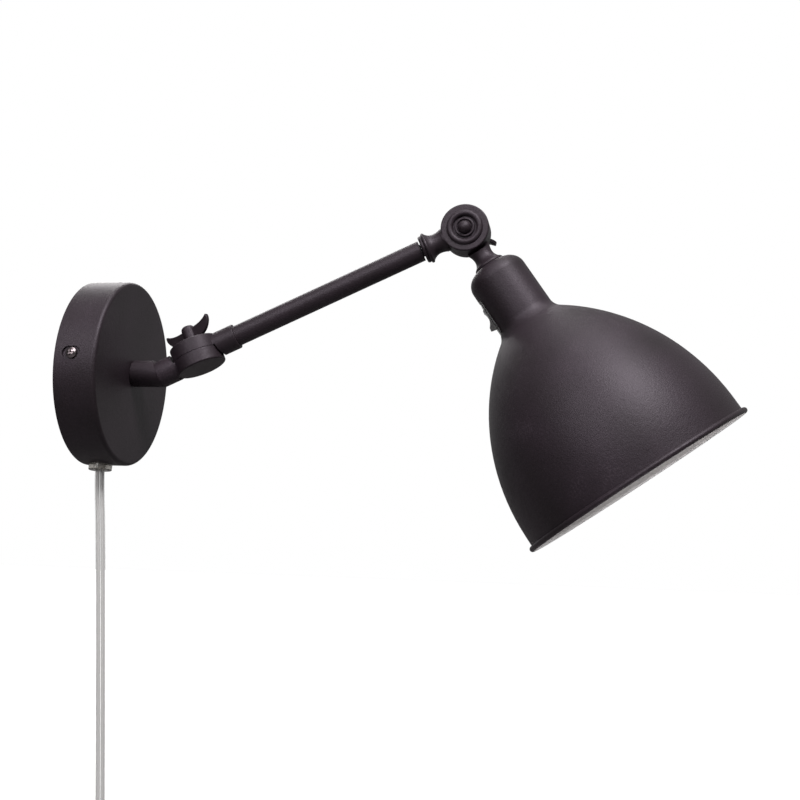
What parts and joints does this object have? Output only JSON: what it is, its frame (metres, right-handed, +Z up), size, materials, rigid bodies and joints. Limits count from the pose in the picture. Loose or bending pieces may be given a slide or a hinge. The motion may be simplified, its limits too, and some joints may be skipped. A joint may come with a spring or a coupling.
{
  "type": "articulating wall lamp",
  "caption": "Swing-arm wall lamp with a round wall cup, inclined arm with wing-nut knuckles, and a bell shade that tilts, on a plug-in cord.",
  "frame": {"origin": "centre of the wall cup's back, on the wall plane", "axes": "+X away from the wall, +Z up, the lamp is pictured from its -Y side"},
  "size_m": [0.3967, 0.1586, 0.552],
  "materials": {
    "black_powder_coat": "matt fine-textured powder coat on steel and die-cast zinc",
    "black_tube": "matt powder coat on drawn steel tube",
    "black_screw": "black zinc plate, satin",
    "zinc_steel": "bright zinc plate",
    "brass": "turned, plain",
    "nickel": "nickel plate",
    "fibre": "vulcanised fibre",
    "clear_cord": "clear PVC sheath over two cores",
    "core_insulation": "PVC insulation",
    "clear_plastic": "smoky clear moulding",
    "white_plastic": "moulded",
    "holder_plastic": "moulded phenolic",
    "switch_plastic": "moulded, glossy",
    "opal_globe": "opal diffuser",
    "black_strap": "woven hook-and-loop strap"
  },
  "bodies": {
    "root": {"wall_cup": "black_powder_coat", "wall_bracket": "zinc_steel", "cup_screws": "black_screw", "terminal_block": "white_plastic", "terminal_tubes": "brass", "terminal_screws": "zinc_steel", "block_screw": "zinc_steel", "cord_gland": "clear_plastic", "gland_nut": "clear_plastic", "supply_tail": "clear_cord", "supply_cores": "core_insulation", "cord_drop": "clear_cord", "cord_coil": "clear_cord", "cord_tie": "black_strap", "plug_strain_relief": "clear_plastic", "plug_body": "clear_plastic", "plug_pins": "nickel"},
    "elbow": {"stem_nipple": "zinc_steel", "stem_washer": "zinc_steel", "stem_locknut": "zinc_steel", "elbow": "black_powder_coat", "knuckle_stud": "zinc_steel", "knuckle_washer": "fibre"},
    "arm": {"swing_knuckle": "black_powder_coat", "arm_tube": "black_tube", "arm_tip_insert": "zinc_steel", "arm_tip_nipple": "zinc_steel", "tilt_knuckle_front": "black_powder_coat", "tilt_bolt": "black_screw", "tilt_washer": "fibre"},
    "head": {"tilt_knuckle_rear": "black_powder_coat", "shade": "black_powder_coat", "shade_nipple": "zinc_steel", "shade_locknut": "zinc_steel", "holder_strap": "zinc_steel", "holder_nipple": "zinc_steel", "holder_locknut": "zinc_steel", "holder_cap": "holder_plastic", "holder_skirt": "holder_plastic", "holder_screw_shell": "brass", "holder_contact": "brass", "bulb_cap": "nickel", "bulb_eyelet": "nickel", "bulb_base": "white_plastic", "bulb_globe": "opal_globe", "switch_housing": "switch_plastic", "switch_spades": "brass"},
    "knuckle_nut": {"knuckle_wing_nut": "black_powder_coat"},
    "tilt_nut": {"tilt_wing_nut": "black_powder_coat"},
    "rocker": {"switch_rocker": "switch_plastic"}
  },
  "joints": [
    {"name": "stem_swivel", "type": "hinge", "parent": "root", "child": "elbow", "pos_m": [0.0257, 0, 0], "axis": [1, 0, 0], "range_deg": [-90, 90]},
    {"name": "arm_swing", "type": "hinge", "parent": "elbow", "child": "arm", "pos_m": [0.06632, 0.00215, 0.01242], "axis": [-0.4226, 0.1543, 0.8931], "range_deg": [-90, 90]},
    {"name": "head_tilt", "type": "hinge", "parent": "arm", "child": "head", "pos_m": [0.2338, 0.01544, 0.08938], "axis": [0, -0.9854, 0.1702], "range_deg": [-45, 110]},
    {"name": "knuckle_nut_turn", "type": "hinge", "parent": "elbow", "child": "knuckle_nut", "pos_m": [0.06315, 0.0033, 0.01912], "axis": [-0.4226, 0.1543, 0.8931], "range_deg": [0, 180]},
    {"name": "tilt_nut_turn", "type": "hinge", "parent": "arm", "child": "tilt_nut", "pos_m": [0.2338, 0.025, 0.08773], "axis": [0, 0.9854, -0.1702], "range_deg": [0, 180]},
    {"name": "switch_rock", "type": "hinge", "parent": "head", "child": "rocker", "pos_m": [0.25115, 0.0082, 0.03454], "axis": [0, 0.9854, -0.1702], "range_deg": [-24, 0]}
  ]
}
